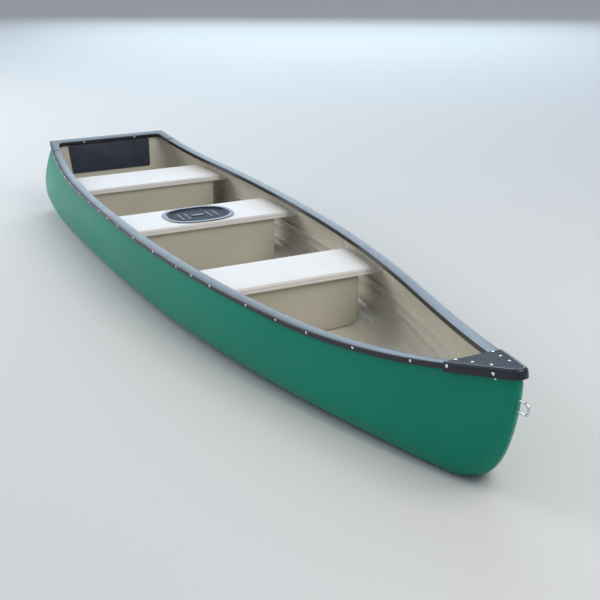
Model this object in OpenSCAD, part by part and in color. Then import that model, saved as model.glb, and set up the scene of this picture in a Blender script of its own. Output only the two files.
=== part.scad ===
// Square-stern sport canoe: moulded hull, vinyl gunwales, three box seats and a transom motor mount.
// Millimetres. +X is the bow, +Y is port, +Z is up, and the origin is under the middle of the boat.

/* [Hull] */
// Length of the hull, from the top of the transom to the head of the stem
hull_len = 4700; // [4500:10:4900]
// Greatest half breadth over the gunwales
half_beam_max = 540; // [510:5:560]
// Distance from the transom to the widest point of the gunwales
widest_x = 1650; // [1500:10:1800]
// Height of the gunwale tops amidships
side_h = 375; // [365:5:400]
// Rise of the gunwales at the transom
stern_rise = 72; // [60:1:80]
// Rise of the gunwales at the stem head
bow_rise = 170; // [150:5:180]
// Half breadth over the gunwale tops at the transom
transom_half = 400; // [385:5:410]
// Forward lean of the transom for each unit of height
transom_rake = 0.2; // [0.15:0.01:0.22]
// Thickness of the green outer skin
skin_t = 4; // [3:0.5:5]
// Thickness of the tan inner skin
liner_t = 4; // [4:0.5:5]
// Depth of each moulded strake on the inner skin
strake_d = 10; // [6:1:12]

/* [Gunwales and caps] */
// Width of the gunwale top
rail_w = 55; // [52:1:58]
// Height of the gunwale flanges
rail_h = 25; // [22:1:27]
// Wall thickness of the gunwales and the caps
rail_t = 4; // [3:0.5:4]
// Length of the transom cap's side arms
cap_arm = 180; // [150:5:200]
// Length of the bow deck cap
deck_len = 296; // [284:4:320]
// Height of the bow deck cap's skirt
deck_skirt = 38; // [35:1:45]

/* [Seats] */
// Aft edges of the stern, middle and bow seats, measured from the transom
seat_x = [530, 1497, 2585];
// Half widths of the three seat boxes
box_half = [430, 410, 350];
// Fore-and-aft depth of a seat top
seat_depth = 365; // [350:5:380]
// Height of the seat tops above the base
seat_h = 310; // [300:5:320]
// Thickness of a seat top, over its rim
seat_t = 30; // [28:1:36]
// Set-back of a seat box from the edge of its top
box_inset = 22; // [18:1:30]
// Wall thickness of the seat tops and boxes
seat_wall = 5; // [4:0.5:6]

/* [Hatch] */
// Half lengths of the hatch rim, fore-and-aft and athwartships
hatch_half = [156, 206];
// Width of the hatch rim's flat ring
hatch_ring = 24; // [22:1:28]
// Depth of the lid below the rim
lid_drop = 10; // [8:1:12]

/* [Motor mount] */
// Half width of the motor pads at the top
pad_half = 287; // [260:1:290]
// Height of the inner motor pad, along its slope
pad_h = 190; // [180:1:195]
// Thickness of each motor pad
pad_t = 10; // [9:0.5:11]

/* [Tow eye] */
// Radius of the tow eye's rod
eye_r = 4.8; // [4:0.4:4.8]
// Distance between the tow eye's legs
eye_gap = 45; // [40:1:50]
// Height of the middle of the tow eye
eye_z = 390; // [380:1:400]
// Reach of the tow eye forward of the stem
eye_reach = 64; // [55:1:70]

/* [Hidden] */

green = "seagreen";
tan = [0.62, 0.59, 0.5];
cream = [0.9, 0.9, 0.88];
black = [0.13, 0.14, 0.17];
steel = "silver";

stern_h = side_h + stern_rise;
rake_a = atan(transom_rake);
stem_half = 14;                 // half breadth over the gunwales at the stem head
stem_x = hull_len - 300;        // where the forefoot starts to rise
stem_reach = 265;               // reach of the forefoot's quarter ellipse
stem_rise = 500;                // height of the forefoot's quarter ellipse
edge_drop = rail_t + 1.8;       // hull edge below the gunwale top
edge_in = 8;                    // hull side inboard of the gunwale's outer face
bond = 0.3;                     // glue line between bonded pieces
square_n = 4.6;                 // squareness of the midship section
round_n = 2;                    // squareness of the section at the stem
turn = 0.6;                     // height of the widest point of a section
turn_drop = 0.22;               // how much lower it is at the transom
beam_n = 2.2;                   // fullness of the gunwale line aft of the widest point
entry_n = 2.3;                  // and forward of it
quarter_len = 1400;             // length over which the stern sections change
stern_run = 900;                // length of the sheer's rise to the transom
bow_run = 1300;                 // length of its rise to the stem
base_rise = 20;                 // rise of the bottom at the transom
base_run = 1000;                // length of that rise
plumb_q = 1.8;                  // section place above which the side stands plumb, behind the flange
lean_end = 800;                 // station where the transom's lean has died away
lean_run = 740;                 // length over which it dies away

// Station of the transom stack: outer skin, core, inner skin, pad
core_t = 18;
x_skin = edge_in;
x_core = x_skin + skin_t + bond;
x_liner = x_core + core_t + bond;
x_pad = x_liner + liner_t + bond;

// The sheer runs straight under the bow deck cap
deck_end = 20;                  // from the cap's nose to the end of the hull's length
deck_x = hull_len - deck_end - deck_len;
sheer_slope = bow_rise * 2.2 / bow_run * pow((bow_run - deck_end - deck_len) / bow_run, 1.2);
deck_a = atan(sheer_slope);
deck_lift = 5;                  // top of the deck cap above the gunwales
deck_over = 5;                  // the deck cap's skirt outboard of the gunwale
deck_in = 1.2;                  // its inner face outboard of the gunwale

// Tilt of the transom cap, which lies along the sheer
cap_a = atan((sheer(0) - sheer(cap_arm)) / cap_arm);

eye_face = stem_line(eye_z);
tip_x = eye_face + eye_reach + eye_r;
tail_x = -rail_h * sin(cap_a);
origin_x = (tip_x + tail_x) / 2;

function clamp(v, lo, hi) = max(lo, min(hi, v));
function smooth(v) = let(t = clamp(v, 0, 1)) t * t * (3 - 2 * t);

// Half breadth over the gunwales at station x
function half_beam(x) =
    x < widest_x
    ? half_beam_max - (half_beam_max - transom_half) * pow((widest_x - x) / widest_x, beam_n)
    : stem_half + (half_beam_max - stem_half)
      * (1 - pow(min(1, (x - widest_x) / (hull_len - widest_x)), entry_n));

function half_beam_slope(x) = (half_beam(x + 1) - half_beam(x - 1)) / 2;

// Share of the way from the midbody aft to the transom
function quarter(x) = clamp(1 - x / quarter_len, 0, 1);

// Height of the gunwale tops at station x
function sheer(x) =
    x > deck_x ? sheer(deck_x) + sheer_slope * (x - deck_x)
    : side_h
      + stern_rise * pow(clamp(1 - x / stern_run, 0, 1), 2.3)
      + bow_rise * pow(max(0, (x - hull_len + bow_run) / bow_run), 2.2);

// Height of the bottom at station x, for a surface t inside the outer one
function bottom(x, t) =
    t + base_rise * pow(clamp(1 - x / base_run, 0, 1), 2)
    + (x <= stem_x ? 0 : (stem_rise - t) * (1 - sqrt(max(0, 1 - pow((x - stem_x) / (stem_reach - t), 2)))));

// Station of the stem at height z
function stem_line(z) = stem_x + stem_reach * sqrt(1 - pow(clamp(1 - z / stem_rise, 0, 1), 2));

// Swell of the sides outside the gunwale line
function swell(x) = 6 + 22 * (1 - smooth((x - 2200) / 2400)) + 46 * pow(quarter(x), 1.5);

function fullness(x) = square_n - (square_n - round_n) * smooth((x - stem_x + 150) / 420);

// Lean of the stations near the transom
function lean(x) = clamp((lean_end - x) / lean_run, 0, 1);
function leaned(x, z) = x + transom_rake * (stern_h - z) * lean(x);
// Station whose leaned section passes through (x, z)
function upright(x, z) =
    let(c = transom_rake * (stern_h - z) / lean_run) x >= lean_end ? x : (x - c * lean_end) / (1 - c);

// Depth of the strakes at section place q: a ledge on top that tapers away below
strakes = [0.36, 0.67, 0.90];
function ledge(q, k) = q > k ? max(0, 1 - (q - k) / 0.02) : max(0, 1 - (k - q) / 0.16);
function strake(x, q) =
    strake_d * smooth((x - 60) / 300) * smooth((4350 - x) / 700)
    * max([for (k = strakes) ledge(q, k)]);

// Heights of the widest point of a section, and of the foot of its plumb edge
function turn_z(x, t) =
    let(zk = bottom(x, t)) zk + (sheer(x) - edge_drop - zk) * (turn - turn_drop * quarter(x));
function plumb_z(x, t) =
    let(zb = turn_z(x, t)) max(sheer(x) - rail_h - 2, zb + 0.3 * (sheer(x) - edge_drop - zb));

// A point of the port side. Place q runs from 0 at the keel to 1 at the widest point and 2 at the edge.
function side_y(x, q, t) =
    let(g = half_beam(x) - edge_in - t, b = g + swell(x))
    q <= 1 ? b * pow(1 - pow(1 - q, square_n), 1 / fullness(x))
           : b - (b - g) * pow(min(1, (q - 1) / (plumb_q - 1)), 2 - 0.4 * quarter(x));
function side_z(x, q, t) =
    let(zk = bottom(x, t), zb = turn_z(x, t), zp = plumb_z(x, t))
    q <= 1 ? zk + (zb - zk) * (1 - pow(1 - q, square_n / fullness(x)))
    : q <= plumb_q ? zb + (zp - zb) * (q - 1) / (plumb_q - 1)
    : zp + (sheer(x) - edge_drop - zp) * (q - plumb_q) / (2 - plumb_q);
function side_point(x, q, t, d) =
    let(z = side_z(x, q, t)) [leaned(x, z), side_y(x, q, t) - d * strake(x, q), z];

// Places along a section, plain and with the strakes' corners
places_low = [for (f = [0, 0.3, 0.55, 0.75, 0.86, 0.93]) 1 - pow(1 - pow(f, square_n), 1 / square_n)];
places_high = [1, 1.4, plumb_q, 2];
places_plain = concat(places_low, [0.36, 0.55, 0.8], places_high);
places_strake = concat([for (i = [0:4]) places_low[i]],
                       [for (k = strakes) each [k - 0.16, k - 0.08, k, k + 0.02]], places_high);

// Half breadth of the inner skin at height z, above the widest point
in_t = skin_t + bond + liner_t;
function inner_half(x, z) =
    let(u = upright(x, z)) lookup(z, [for (q = places_high) [side_z(u, q, in_t), side_y(u, q, in_t)]]);
// Height of the inner skin at breadth y on the floor
function floor_z(x, y) =
    let(u = upright(x, in_t))
    lookup(y, [for (q = places_strake) if (q <= strakes[0]) let(p = side_point(u, q, in_t, 1)) [p[1], p[2]]]);

// Stations along a surface: its aft end, even to the forefoot, then by the angle of the ellipse
bow_angles = [10, 20, 30, 40, 50, 60, 70, 78, 84, 88];
function stations(x0, t) =
    concat([x0], [for (i = [1:24]) stem_x * i / 24],
           [for (a = bow_angles) stem_x + (stem_reach - t) * sin(a)]);

// A section from the port edge, under the keel, to the starboard edge
function ring(x, places, t, d) =
    let(n = len(places))
    concat([for (i = [n - 1:-1:0]) side_point(x, places[i], t, d)],
           [for (i = [1:n - 1]) let(p = side_point(x, places[i], t, d)) [p[0], -p[1], p[2]]]);

function flip(f) = [f[0], f[2], f[1]];
function flip_all(faces) = [for (f = faces) flip(f)];

// Faces of a grid of rings, and of the flat end across one ring
function grid_faces(rows, cols, o) =
    [for (i = [0:rows - 2], j = [0:cols - 2])
        let(a = o + i * cols + j, b = a + 1, d = a + cols, c = d + 1)
        each [[a, b, c], [a, c, d]]];
function end_faces(cols, o) =
    [for (j = [0:(cols - 3) / 2])
        let(p = o + j, s = o + cols - 1 - j)
        each (p + 1 == s - 1 ? [[p, p + 1, s]] : [[p, p + 1, s - 1], [p, s - 1, s]])];

// An open shell between an outer and an inner surface, closed at both ends and along its edge
module open_shell(x_out, x_in, t_out, t_in, places_in, strakes_in) {
    outer_x = stations(x_out, t_out);
    inner_x = stations(x_in, t_in);
    n = len(outer_x);
    mo = 2 * len(places_plain) - 1;
    mi = 2 * len(places_in) - 1;
    o = n * mo;
    points = concat([for (x = outer_x) each ring(x, places_plain, t_out, 0)],
                    [for (x = inner_x) each ring(x, places_in, t_in, strakes_in)]);
    port_edge = [for (i = [0:n - 2])
        let(a = i * mo, b = a + mo, c = o + i * mi, d = c + mi) each [[a, b, d], [a, d, c]]];
    starboard_edge = [for (i = [0:n - 2])
        let(a = i * mo + mo - 1, b = a + mo, c = o + i * mi + mi - 1, d = c + mi)
        each [[a, d, b], [a, c, d]]];
    last = (n - 1) * mo;
    last_in = o + (n - 1) * mi;
    aft_edge = [[0, o + mi - 1, mo - 1], [0, o, o + mi - 1]];
    fore_edge = [[last, last + mo - 1, last_in + mi - 1], [last, last_in + mi - 1, last_in]];
    faces = concat(grid_faces(n, mo, 0), flip_all(grid_faces(n, mi, o)), port_edge, starboard_edge,
                   flip_all(end_faces(mo, 0)), end_faces(mi, o), end_faces(mo, last),
                   flip_all(end_faces(mi, last_in)), aft_edge, fore_edge);
    polyhedron(points, faces, convexity = 6);
}

// Moves a piece from hull stations to the part's own frame
module placed() {
    translate([-origin_x, 0, 0]) children();
}

module mirrored_pair() {
    children();
    mirror([0, 1, 0]) children();
}

// Lays a flat piece on the transom's slope, x0 forward of its top edge
module on_transom(x0, thick) {
    translate([x0, 0, stern_h])
        rotate([0, -rake_a, 0])
            rotate([90, 0, 90])
                linear_extrude(thick) children();
}

module hull_outer_skin() {
    color(green) placed() difference() {
        open_shell(x_skin, x_skin + skin_t, 0, skin_t, places_plain, 0);
        eye_holes();
    }
}

module hull_inner_skin() {
    color(tan) placed() difference() {
        open_shell(x_liner, x_liner + liner_t, skin_t + bond, skin_t + bond + liner_t, places_strake, 1);
        eye_holes();
    }
}

core_drop = 13.5;               // top of the core below the transom's head
core_gap = 16;                  // the core's sides inboard of the outer skin
module transom_core() {
    edge = [for (q = places_plain) let(t = skin_t + core_gap)
        [side_y(x_skin, q, t), (min(side_z(x_skin, q, t) - stern_h, -core_drop) - 1) / cos(rake_a)]];
    other = [for (i = [len(edge) - 1:-1:0]) [-edge[i][0], edge[i][1]]];
    color("burlywood") placed() on_transom(x_core, core_t * cos(rake_a)) polygon(concat(edge, other));
}

// Gunwale section: distance inboard of the outer face, and depth below the top
rail_soft = 3;
rail_inner = rail_w - rail_t;
rail_section = [[0, rail_soft], [rail_soft, 0], [rail_w - rail_soft, 0], [rail_w, rail_soft],
                [rail_w, rail_h], [rail_inner, rail_h], [rail_inner, rail_t], [rail_t, rail_t],
                [rail_t, rail_h], [0, rail_h]];
core_out = 18;                  // the stiffening core lies inboard of the hull's edge
core_in = rail_inner - 1;
core_top = rail_t + 0.5;
core_low = 21;
core_section = [[core_out, core_top], [core_in, core_top], [core_in, core_low], [core_out, core_low]];

function rail_point(x, p) =
    let(m = half_beam_slope(x), k = sqrt(1 + m * m), px = x + p[0] * m / k)
    [px, half_beam(x) - p[0] / k, sheer(px) - p[1]];

// Sweeps a section along the port gunwale line. The section is convex or an open channel.
module rail(section, x0, x1, steps) {
    n = len(section);
    xs = [for (i = [0:steps]) x0 + (x1 - x0) * i / steps];
    points = [for (x = xs) each [for (p = section) rail_point(x, p)]];
    sides = [for (i = [0:steps - 1], j = [0:n - 1])
        let(a = i * n + j, b = i * n + (j + 1) % n, c = b + n, d = a + n)
        each [[a, c, b], [a, d, c]]];
    caps = n == 4 ? [[0, 1, 2], [0, 2, 3]]
                  : [[0, 1, 7], [1, 2, 6], [1, 6, 7], [2, 3, 6], [3, 4, 5], [3, 5, 6], [0, 7, 8], [0, 8, 9]];
    faces = concat(sides, caps, [for (f = caps) [f[0], f[2], f[1]] + (steps * n) * [1, 1, 1]]);
    polyhedron(points, faces, convexity = 4);
}

rail_x0 = cap_arm + 0.6;
rail_x1 = hull_len - 160;
rail_steps = 34;
core_short = 80;                // the core ends this far short of the gunwale

module gunwale() {
    difference() {
        rail(rail_section, rail_x0, rail_x1, rail_steps);
        for (x = rivet_x)
            on_rail(x, rivet_down, -rail_t - 1) cylinder(h = rail_t + 2, r = shank_r + 0.2, $fn = 24);
    }
}

module gunwale_core() {
    rail(core_section, rail_x0, rail_x1 - core_short, rail_steps);
}

module gunwale_port() {
    color(black) placed() gunwale();
}

module gunwale_starboard() {
    color(black) placed() mirror([0, 1, 0]) gunwale();
}

module gunwale_core_port() {
    color(steel) placed() gunwale_core();
}

module gunwale_core_starboard() {
    color(steel) placed() mirror([0, 1, 0]) gunwale_core();
}

// Rivet stations: closer together at each seat
rivet_x = [270, 400, 600, 715, 875, 1125, 1335, 1535, 1695, 1865, 2110, 2375, 2645, 2800, 2975,
           3275, 3490, 3690, 3955, 4240];

rivet_down = rail_h / 2;
head_r = 5.5;
head_h = 2.6;
shank_r = 2.2;
rail_gap = 0.4;                 // room for the flange's gentle curve under a rivet's head

// Puts a piece on the gunwale's outer face at station x, pointing outboard
module on_rail(x, down, out) {
    p = rail_point(x, [-out, down]);
    translate(p) rotate([0, 0, atan(half_beam_slope(x))]) rotate([-90, 0, 0]) children();
}

module rivet(r, h) {
    dome = [for (a = [15:15:90]) [r * cos(a), h * sin(a)]];
    rotate_extrude($fn = 32) polygon(concat([[0, 0], [r, 0]], dome));
}

module gunwale_rivets() {
    for (x = rivet_x) {
        on_rail(x, rivet_down, rail_gap) rivet(head_r, head_h);
        on_rail(x, rivet_down, -rail_t) cylinder(h = rail_t + rail_gap + 0.1, r = shank_r, $fn = 24);
    }
}

module gunwale_rivets_port() {
    color(steel) placed() gunwale_rivets();
}

module gunwale_rivets_starboard() {
    color(steel) placed() mirror([0, 1, 0]) gunwale_rivets();
}

// Plan of the transom cap: square outer corners and rounded inner ones
cap_cross = 62;
cap_round = 45;
cap_step = 6;                   // the arms' extra width at their forward ends
cap_cut = 400;                  // end of the opening, clear of the arms
module cap_plan(inset) {
    x_in = cap_cross - inset;
    near_y = half_beam(x_in) - rail_w + inset;
    far_y = half_beam(cap_cut) - rail_w - cap_step + inset;
    difference() {
        polygon([[inset, half_beam(0) - inset], [cap_arm / cos(cap_a), half_beam(cap_arm) - inset],
                 [cap_arm / cos(cap_a), -half_beam(cap_arm) + inset], [inset, -half_beam(0) + inset]]);
        offset(r = cap_round + inset) offset(delta = -cap_round - inset)
            polygon([[x_in, near_y], [cap_cut, far_y], [cap_cut, -far_y], [x_in, -near_y]]);
    }
}

module transom_cap() {
    color(black) placed() difference() {
        translate([0, 0, stern_h]) rotate([0, cap_a, 0]) difference() {
            translate([0, 0, -rail_h]) linear_extrude(rail_h) cap_plan(0);
            translate([0, 0, -rail_h - 1]) linear_extrude(rail_h + 1 - rail_t) cap_plan(rail_t);
        }
        cap_bolt_places() cylinder(h = 40, r = cap_bolt_r + 0.2, center = true, $fn = 32);
    }
}

cap_bolt_y = 180;
cap_bolt_r = 3;
cap_bolt_z = -11;
module cap_bolt_places() {
    for (s = [-1, 1])
        translate([0, s * cap_bolt_y, stern_h]) rotate([0, cap_a, 0])
            translate([cap_cross, 0, cap_bolt_z]) rotate([0, 90, 0]) children();
}

module transom_cap_bolts() {
    color(steel) placed() cap_bolt_places() {
        translate([0, 0, 0.05]) rivet(6.5, 3.5);
        translate([0, 0, -rail_t - 1]) cylinder(h = rail_t + 1.06, r = cap_bolt_r, $fn = 32);
    }
}

module pad_plan(top, height) {
    lean_in = 12;               // each side leans in by this much at the bottom
    r = 8;
    offset(r = r) offset(delta = -r)
        polygon([[-pad_half, top], [pad_half, top], [pad_half - lean_in, top - height],
                 [-pad_half + lean_in, top - height]]);
}

inner_pad_top = -40;
outer_pad_top = -rail_h - 12;
pad_bottom = inner_pad_top - pad_h;
screw_in = 30;
module pad_screw_places() {
    for (sy = [-1, 1], v = [outer_pad_top - screw_in, pad_bottom + screw_in])
        translate([x_skin, 0, stern_h]) rotate([0, -rake_a, 0])
            translate([-bond, sy * (pad_half - 2 * screw_in), v]) rotate([0, -90, 0]) children();
}

module motor_pad_inner() {
    color([0.12, 0.15, 0.2]) placed() on_transom(x_pad, pad_t) pad_plan(inner_pad_top, pad_h);
}

module motor_pad_outer() {
    color([0.12, 0.15, 0.2]) placed() difference() {
        on_transom(x_skin - bond - pad_t, pad_t) pad_plan(outer_pad_top, outer_pad_top - pad_bottom);
        pad_screw_places() {
            translate([0, 0, -1]) cylinder(h = pad_t + 2, r = screw_r + 0.2, $fn = 32);
            translate([0, 0, pad_t - sink]) cylinder(h = 10, r = head_r + 0.5, $fn = 32);
        }
    }
}

screw_r = 2.5;
sink = 3.5;                     // depth of the counterbores in the outer pad
module motor_pad_screws() {
    color(steel) placed() pad_screw_places() {
        translate([0, 0, 0.2]) cylinder(h = pad_t - sink, r = screw_r, $fn = 32);
        translate([0, 0, pad_t - sink + 0.1]) rivet(head_r, head_h);
    }
}

// Plan of the bow deck cap, in its own tilted plane, with a round nose
nose_a = 75;
nose_len = 30;
module deck_plan(grow) {
    xs = [for (i = [0:16]) deck_x + i * (deck_len - nose_len) / 16];
    side = [for (x = xs) [(x - deck_x) / cos(deck_a), half_beam(x) + grow]];
    other = [for (i = [len(xs) - 1:-1:0]) [side[i][0], -side[i][1]]];
    r = side[len(xs) - 1][1] / sin(nose_a);
    nose_x = side[len(xs) - 1][0] - r * cos(nose_a);
    nose = [for (a = [nose_a - 15:-15:15 - nose_a]) [nose_x + r * cos(a), r * sin(a)]];
    polygon(concat(side, nose, other));
}

module deck_frame() {
    translate([deck_x, 0, sheer(deck_x) + deck_lift]) rotate([0, -deck_a, 0]) children();
}

module bow_deck_cap() {
    mouth = half_beam(deck_x) - 2;
    hollow = deck_skirt + 1 - rail_t;
    color(black) placed() difference() {
        deck_frame() translate([0, 0, -deck_skirt]) linear_extrude(deck_skirt) deck_plan(deck_over);
        deck_frame() translate([-1, 0, -deck_skirt - 1]) linear_extrude(hollow) deck_plan(deck_in);
        deck_frame() translate([-5, -mouth, -deck_skirt - 1]) cube([10, 2 * mouth, hollow]);
        deck_rivet_places() cylinder(h = 12, r = pin_r + 0.1, center = true, $fn = 32);
    }
}

// Distance forward of the cap's aft edge and breadth of each rivet on its top
deck_rivets = [[10, 82], [83, 61], [165, 39]];
pin_r = 2.4;
module deck_rivet_places() {
    deck_frame() for (p = deck_rivets, s = [-1, 1]) translate([p[0] / cos(deck_a), s * p[1], 0]) children();
}

module deck_top_rivets() {
    color(steel) placed() deck_rivet_places() {
        translate([0, 0, 0.05]) rivet(6, head_h);
        translate([0, 0, -rail_t + 0.2]) cylinder(h = rail_t - 0.1, r = pin_r, $fn = 32);
    }
}

// Large rivets on the deck cap's skirt: distance along it and depth below its top
deck_side = [[19, 15], [204, 22]];
module deck_side_rivets() {
    color(steel) placed() mirrored_pair()
        for (p = deck_side)
            let(x = deck_x + p[0])
            deck_frame() translate([p[0] / cos(deck_a), half_beam(x) + deck_over + 0.1, -p[1]])
                rotate([0, 0, atan(half_beam_slope(x) * cos(deck_a))]) rotate([-90, 0, 0]) rivet(6.5, 3);
}

// Small rivets in the hull just under the deck cap's skirt
stem_rivet_x = hull_len - 110;
stem_rivet_down = 39;
module stem_rivets() {
    q = 1.7;
    color(steel) placed() mirrored_pair()
        translate([stem_rivet_x, side_y(stem_rivet_x, q, 0) + 0.6, sheer(stem_rivet_x) - stem_rivet_down])
            rotate([0, 0, atan(half_beam_slope(stem_rivet_x))]) rotate([-90, 0, 0]) rivet(5, 2.2);
}

// Plan of a seat top whose ends follow the hull's inner skin, in by a gap
module seat_plan(i, gap, grow) {
    xs = [for (k = [0:4]) seat_x[i] - grow + (seat_depth + 2 * grow) * k / 4];
    port = [for (x = xs) [x, inner_half(x, seat_h) - gap]];
    other = [for (k = [4:-1:0]) [port[k][0], -port[k][1]]];
    polygon(concat(port, other));
}

lip_h = 9;                      // the flat flange round a seat top
lip_out = 5;
lip_gap = 2.5;                  // between the flange's ends and the hull
end_gap = 24;                   // between the raised part's ends and the hull
seat_round = 16;
module raised_plan(i, inset) {
    r = seat_round - inset;
    offset(r = r) offset(delta = -r) seat_plan(i, end_gap + inset, -lip_out - inset);
}
module seat_top(i) {
    hollow = seat_t + 1 - seat_wall;
    difference() {
        translate([0, 0, seat_h - seat_t]) {
            linear_extrude(seat_t) raised_plan(i, 0);
            linear_extrude(lip_h) seat_plan(i, lip_gap, 0);
        }
        translate([0, 0, seat_h - seat_t - 1]) linear_extrude(hollow) raised_plan(i, seat_wall);
    }
}

// Outline of a seat box across the boat, with its bottom on the floor
box_shares = [0, 0.25, 0.45, 0.62, 0.76, 0.86, 0.93, 0.98];
box_lift = 0.6;                 // glue line under a box
module box_section(i, inset) {
    w = box_half[i] - inset;
    x0 = seat_x[i] + box_inset;
    x1 = seat_x[i] + seat_depth - box_inset;
    r = 40;
    low = [for (f = box_shares)
        [f * w, max(floor_z(x0, f * w), floor_z(x1, f * w)) + box_lift + inset
                + r * (1 - sqrt(1 - pow(clamp((f * w - w + r) / r, 0, 1), 2)))]];
    top = inset > 0 ? seat_h : seat_h - seat_wall - bond;
    corner = [w, max(floor_z(x0, w), floor_z(x1, w)) + r + inset];
    half = concat(low, [corner, [w, top]]);
    other = [for (k = [len(half) - 1:-1:1]) [-half[k][0], half[k][1]]];
    polygon(concat(half, other));
}

module seat_box(i) {
    x0 = seat_x[i] + box_inset;
    depth = seat_depth - 2 * box_inset;
    difference() {
        translate([x0, 0, 0]) rotate([90, 0, 90]) linear_extrude(depth) box_section(i, 0);
        translate([x0 + seat_wall, 0, 0]) rotate([90, 0, 90]) linear_extrude(depth - 2 * seat_wall)
            box_section(i, seat_wall);
    }
}

// Block of foam inside a seat box
foam_gap = 4;
foam_side = 30;                 // clear of the box's rounded lower corners
foam_lift = 10;
module seat_foam(i) {
    gap = seat_wall + foam_gap;
    x0 = seat_x[i] + box_inset + gap;
    half = box_half[i] - gap - foam_side;
    base = floor_z(x0, half) + seat_wall + foam_lift;
    top = seat_h - seat_wall - foam_gap - 2;
    translate([x0, -half, base]) cube([seat_depth - 2 * (box_inset + gap), 2 * half, top - base]);
}

module stern_seat_top() {
    color(cream) placed() seat_top(0);
}

module stern_seat_box() {
    color(tan) placed() seat_box(0);
}

module stern_seat_foam() {
    color("white") placed() seat_foam(0);
}

module middle_seat_top() {
    color(cream) placed() difference() {
        seat_top(1);
        in_hatch() translate([0, 0, -20]) linear_extrude(40) oval(hatch_ring - neck_t - 1);
    }
}

module middle_seat_box() {
    color(tan) placed() seat_box(1);
}

module bow_seat_top() {
    color(cream) placed() seat_top(2);
}

module bow_seat_box() {
    color(tan) placed() seat_box(2);
}

module bow_seat_foam() {
    color("white") placed() seat_foam(2);
}

// Hatch: an oval that is a little fuller than an ellipse, shrunk by an inset all round
neck_t = 5;
ring_t = 4;
ledge_w = 16;
gasket_t = 3;
lid_t = 4;
module oval(inset) {
    a = hatch_half[0] - inset;
    b = hatch_half[1] - inset;
    polygon([for (w = [0:5:355])
        [a * sign(cos(w)) * pow(abs(cos(w)), 0.8), b * sign(sin(w)) * pow(abs(sin(w)), 0.8)]]);
}

module in_hatch() {
    translate([seat_x[1] + seat_depth / 2, 0, seat_h]) children();
}

module oval_ring(z, h, outer, inner) {
    translate([0, 0, z]) linear_extrude(h) difference() {
        oval(outer);
        oval(inner);
    }
}

lid_top = ring_t - lid_drop;
shelf_top = lid_top - lid_t - gasket_t - 0.2;
neck_low = shelf_top - ring_t - 12;
module hatch_rim() {
    color(black) placed() in_hatch() {
        oval_ring(0.2, ring_t, 0, hatch_ring);
        oval_ring(neck_low, 0.2 - neck_low, hatch_ring - neck_t, hatch_ring);
        oval_ring(shelf_top - ring_t, ring_t, hatch_ring - 0.5, hatch_ring + ledge_w);
    }
}

module hatch_gasket() {
    color("black") placed() in_hatch()
        oval_ring(shelf_top, gasket_t, hatch_ring + 3, hatch_ring + ledge_w - 3);
}

// Lid: a plate with a raised border, a grip bar across it and four ribs
lid_in = hatch_ring + 2;
border_w = 6;
rib_y = [-105, -65, 65, 105];
rib_size = [120, 10, lid_t + 3];
grip_size = [24, 80, lid_t + 5];
module hatch_lid() {
    z = lid_top - lid_t;
    color(black) placed() in_hatch() {
        translate([0, 0, z]) linear_extrude(lid_t) oval(lid_in);
        oval_ring(z, lid_t + 4, lid_in, lid_in + border_w);
        for (y = rib_y)
            translate([-rib_size[0] / 2, y - rib_size[1] / 2, z]) cube(rib_size);
        translate([-grip_size[0] / 2, -grip_size[1] / 2, z]) cube(grip_size);
    }
}

// Tow eye: a U-bolt through the stem, one leg above the other
leg_in = 60;
module eye_holes() {
    for (s = [-1, 1])
        translate([eye_face - 80, 0, eye_z + s * eye_gap / 2]) rotate([0, 90, 0])
            cylinder(h = 120, r = eye_r + 0.5, $fn = 32);
}

module tow_eye() {
    bend = eye_gap / 2;
    x_bend = eye_face + eye_reach - bend;
    color(steel) placed() {
        for (s = [-1, 1])
            translate([eye_face - leg_in, 0, eye_z + s * bend]) rotate([0, 90, 0])
                cylinder(h = x_bend - eye_face + leg_in, r = eye_r, $fn = 32);
        translate([x_bend, 0, eye_z]) rotate([90, 0, 0]) rotate([0, 0, -90])
            rotate_extrude(angle = 180, $fn = 64) translate([bend, 0]) circle(r = eye_r, $fn = 32);
    }
}

block_size = [16, 24, 84];
block_x = eye_face - 44;
module tow_eye_block() {
    color("burlywood") placed() difference() {
        translate([block_x, -block_size[1] / 2, eye_z - block_size[2] / 2]) cube(block_size);
        eye_holes();
    }
}

washer_t = 1.6;
nut_t = 6.5;
washer_x = block_x - washer_t - 0.1;
module tow_eye_washers() {
    color(steel) placed() for (s = [-1, 1])
        translate([washer_x, 0, eye_z + s * eye_gap / 2]) rotate([0, 90, 0]) difference() {
            cylinder(h = washer_t, r = 10, $fn = 48);
            translate([0, 0, -1]) cylinder(h = washer_t + 2, r = eye_r + 0.3, $fn = 32);
        }
}

module tow_eye_nuts() {
    color(steel) placed() for (s = [-1, 1])
        translate([washer_x - nut_t - 0.2, 0, eye_z + s * eye_gap / 2]) rotate([0, 90, 0]) difference() {
            cylinder(h = nut_t, r = 8.5, $fn = 6);
            translate([0, 0, -1]) cylinder(h = nut_t + 2, r = eye_r + 0.15, $fn = 32);
        }
}

hull_outer_skin();
hull_inner_skin();
transom_core();
gunwale_starboard();
gunwale_port();
gunwale_core_starboard();
gunwale_core_port();
gunwale_rivets_starboard();
gunwale_rivets_port();
transom_cap();
transom_cap_bolts();
motor_pad_inner();
motor_pad_outer();
motor_pad_screws();
bow_deck_cap();
deck_top_rivets();
deck_side_rivets();
stem_rivets();
stern_seat_top();
stern_seat_box();
stern_seat_foam();
middle_seat_top();
middle_seat_box();
hatch_rim();
hatch_gasket();
hatch_lid();
bow_seat_top();
bow_seat_box();
bow_seat_foam();
tow_eye();
tow_eye_washers();
tow_eye_nuts();
tow_eye_block();
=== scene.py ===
"""Square-stern canoe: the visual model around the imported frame.

Metres throughout. +X is the bow, +Y is port, +Z is up. Hull stations run from the top of the transom,
and ORIGIN_X moves them into the frame's own coordinates.
"""
import math

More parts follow.
